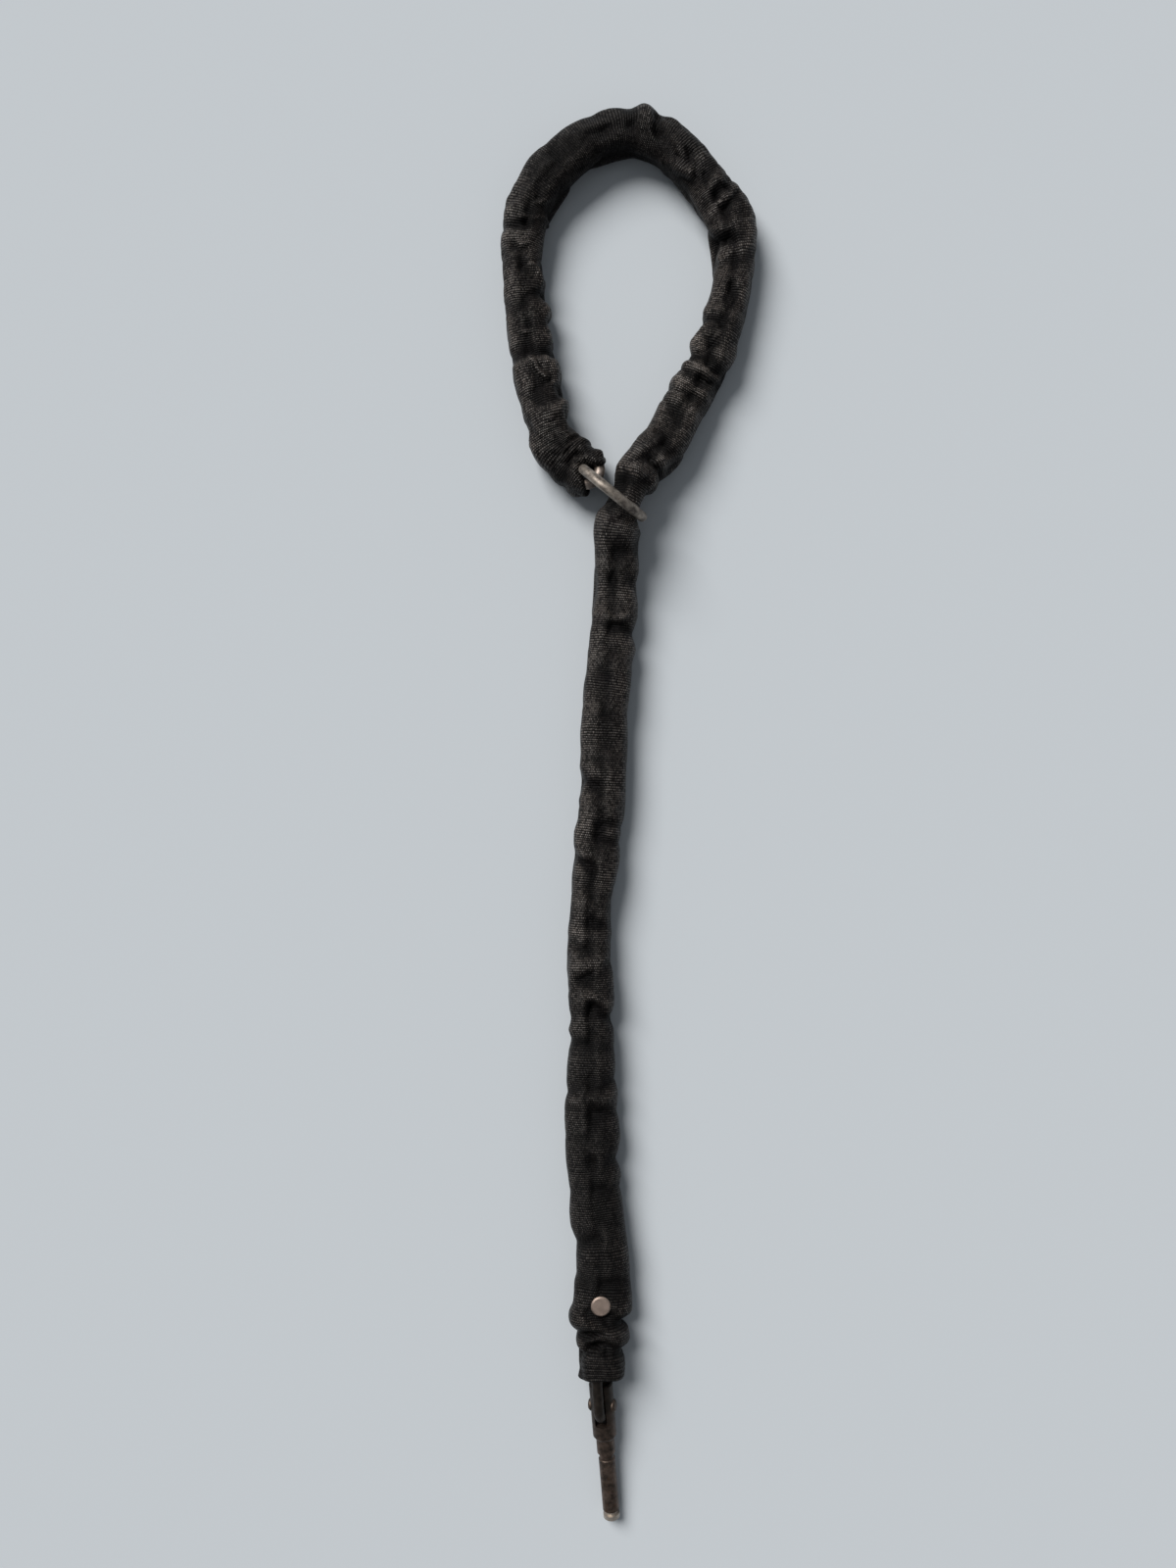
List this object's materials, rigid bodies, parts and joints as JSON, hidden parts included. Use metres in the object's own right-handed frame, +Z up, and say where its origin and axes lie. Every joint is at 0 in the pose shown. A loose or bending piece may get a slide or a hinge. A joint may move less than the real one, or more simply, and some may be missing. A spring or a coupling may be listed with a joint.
{
  "type": "sleeved chain lock",
  "caption": "Short hardened chain in a woven sleeve, looped through a welded ring as a noose, with a grooved steel plug pinned to its free end for a frame lock.",
  "frame": {"origin": "middle of the outline's bounding box, on the floor the lock lies on", "axes": "+Y from the plug to the noose, +Z up, +X to the right seen from above with the noose on top"},
  "size_m": [0.1306, 0.735, 0.0423],
  "materials": {
    "sleeve": "charcoal woven polyester, fine crosswise ribs, dusty",
    "link": "hardened chain steel, dull",
    "ring": "worn warm grey steel",
    "rivet_cap": "worn, pinkish beige",
    "rivet_washer": "worn",
    "plug": "rusty brown, worn",
    "clevis_pin": "rusty, worn"
  },
  "bodies": {
    "noose": {"end_link": "link", "noose_chain": "link", "sleeve_mouth": "sleeve", "sleeve_loop": "sleeve"},
    "ring": {"ring": "ring"},
    "tail_01": {"tail_link_01": "link", "sleeve_01": "sleeve"},
    "tail_02": {"tail_link_02": "link", "sleeve_02": "sleeve"},
    "tail_03": {"tail_link_03": "link", "sleeve_03": "sleeve"},
    "tail_04": {"tail_link_04": "link", "sleeve_04": "sleeve"},
    "tail_05": {"tail_link_05": "link", "sleeve_05": "sleeve"},
    "tail_06": {"tail_link_06": "link", "sleeve_06": "sleeve"},
    "tail_07": {"tail_link_07": "link", "sleeve_07": "sleeve"},
    "tail_08": {"tail_link_08": "link", "sleeve_08": "sleeve"},
    "tail_09": {"tail_link_09": "link", "sleeve_09": "sleeve"},
    "tail_10": {"tail_link_10": "link", "sleeve_10": "sleeve"},
    "tail_11": {"tail_link_11": "link", "sleeve_11": "sleeve"},
    "tail_12": {"tail_link_12": "link", "sleeve_12": "sleeve"},
    "tail_13": {"tail_link_13": "link", "sleeve_13": "sleeve"},
    "tail_14": {"tail_link_14": "link", "sleeve_14": "sleeve"},
    "tail_15": {"tail_link_15": "link", "sleeve_15": "sleeve"},
    "tail_16": {"tail_link_16": "link", "sleeve_16": "sleeve", "rivet_cap": "rivet_cap", "rivet_washer": "rivet_washer"},
    "tail_17": {"tail_link_17": "link", "sleeve_17": "sleeve"},
    "tail_18": {"tail_link_18": "link", "sleeve_cuff": "sleeve"},
    "plug": {"plug": "plug", "clevis_pin": "clevis_pin"}
  },
  "joints": [
    {"name": "ring_swing", "type": "hinge", "parent": "noose", "child": "ring", "pos_m": [-0.0167, 0.174, 0.0157], "axis": [-0.6691, -0.7431, 0], "range_deg": [-8, 1]},
    {"name": "bend_01", "type": "hinge", "parent": "noose", "child": "tail_01", "pos_m": [-0.00638, 0.12713, 0.0102], "axis": [-0.7669, -0.216, 0.6043], "range_deg": [-22, 22], "deforming": ["sleeve_01"]},
    {"name": "bend_02", "type": "hinge", "parent": "tail_01", "child": "tail_02", "pos_m": [-0.00866, 0.10284, 0.00922], "axis": [0.7035, -0.0874, 0.7053], "range_deg": [-22, 22], "deforming": ["sleeve_02"]},
    {"name": "bend_03", "type": "hinge", "parent": "tail_02", "child": "tail_03", "pos_m": [-0.01017, 0.07863, 0.00944], "axis": [-0.7052, 0.0513, 0.7071], "range_deg": [-22, 22], "deforming": ["sleeve_03"]},
    {"name": "bend_04", "type": "hinge", "parent": "tail_03", "child": "tail_04", "pos_m": [-0.01327, 0.05457, 0.00941], "axis": [0.7013, -0.0902, 0.7071], "range_deg": [-22, 22], "deforming": ["sleeve_04"]},
    {"name": "bend_05", "type": "hinge", "parent": "tail_04", "child": "tail_05", "pos_m": [-0.01384, 0.03032, 0.0094], "axis": [-0.7069, 0.018, 0.7071], "range_deg": [-22, 22], "deforming": ["sleeve_05"]},
    {"name": "bend_06", "type": "hinge", "parent": "tail_05", "child": "tail_06", "pos_m": [-0.01424, 0.00607, 0.00943], "axis": [0.707, -0.0109, 0.7071], "range_deg": [-22, 22], "deforming": ["sleeve_06"]},
    {"name": "bend_07", "type": "hinge", "parent": "tail_06", "child": "tail_07", "pos_m": [-0.01751, -0.01797, 0.00946], "axis": [-0.7009, 0.0941, 0.7071], "range_deg": [-22, 22], "deforming": ["sleeve_07"]},
    {"name": "bend_08", "type": "hinge", "parent": "tail_07", "child": "tail_08", "pos_m": [-0.01949, -0.04215, 0.00944], "axis": [0.7046, -0.0591, 0.7071], "range_deg": [-22, 22], "deforming": ["sleeve_08"]},
    {"name": "bend_09", "type": "hinge", "parent": "tail_08", "child": "tail_09", "pos_m": [-0.02019, -0.06639, 0.00941], "axis": [-0.7068, 0.0206, 0.7071], "range_deg": [-22, 22], "deforming": ["sleeve_09"]},
    {"name": "bend_10", "type": "hinge", "parent": "tail_09", "child": "tail_10", "pos_m": [-0.01963, -0.09064, 0.00944], "axis": [0.7069, 0.0164, 0.7071], "range_deg": [-22, 22], "deforming": ["sleeve_10"]},
    {"name": "bend_11", "type": "hinge", "parent": "tail_10", "child": "tail_11", "pos_m": [-0.01923, -0.11488, 0.00943], "axis": [-0.707, -0.0124, 0.7071], "range_deg": [-22, 22], "deforming": ["sleeve_11"]},
    {"name": "bend_12", "type": "hinge", "parent": "tail_11", "child": "tail_12", "pos_m": [-0.01928, -0.13913, 0.00942], "axis": [0.7071, -0.0013, 0.7071], "range_deg": [-22, 22], "deforming": ["sleeve_12"]},
    {"name": "bend_13", "type": "hinge", "parent": "tail_12", "child": "tail_13", "pos_m": [-0.0188, -0.16338, 0.00942], "axis": [-0.707, -0.0137, 0.7071], "range_deg": [-22, 22], "deforming": ["sleeve_13"]},
    {"name": "bend_14", "type": "hinge", "parent": "tail_13", "child": "tail_14", "pos_m": [-0.01791, -0.18761, 0.00943], "axis": [0.7066, 0.026, 0.7071], "range_deg": [-22, 22], "deforming": ["sleeve_14"]},
    {"name": "bend_15", "type": "hinge", "parent": "tail_14", "child": "tail_15", "pos_m": [-0.01564, -0.21176, 0.00941], "axis": [-0.7041, -0.0656, 0.7071], "range_deg": [-22, 22], "deforming": ["sleeve_15"]},
    {"name": "bend_16", "type": "hinge", "parent": "tail_15", "child": "tail_16", "pos_m": [-0.01355, -0.23592, 0.00943], "axis": [0.7044, 0.0617, 0.7071], "range_deg": [-22, 22], "deforming": ["sleeve_16"]},
    {"name": "bend_17", "type": "hinge", "parent": "tail_16", "child": "tail_17", "pos_m": [-0.01469, -0.26015, 0.01014], "axis": [-0.6933, 0.0512, 0.7188], "range_deg": [-22, 22], "deforming": ["sleeve_17"]},
    {"name": "bend_18", "type": "hinge", "parent": "tail_17", "child": "tail_18", "pos_m": [-0.01467, -0.28433, 0.01191], "axis": [0.866, 0.0359, 0.4987], "range_deg": [-22, 22], "deforming": ["sleeve_cuff"]},
    {"name": "plug_swing", "type": "hinge", "parent": "tail_18", "child": "plug", "pos_m": [-0.01337, -0.30295, 0.01066], "axis": [0.9647, 0.0511, 0.2583], "range_deg": [-40, 40]}
  ]
}
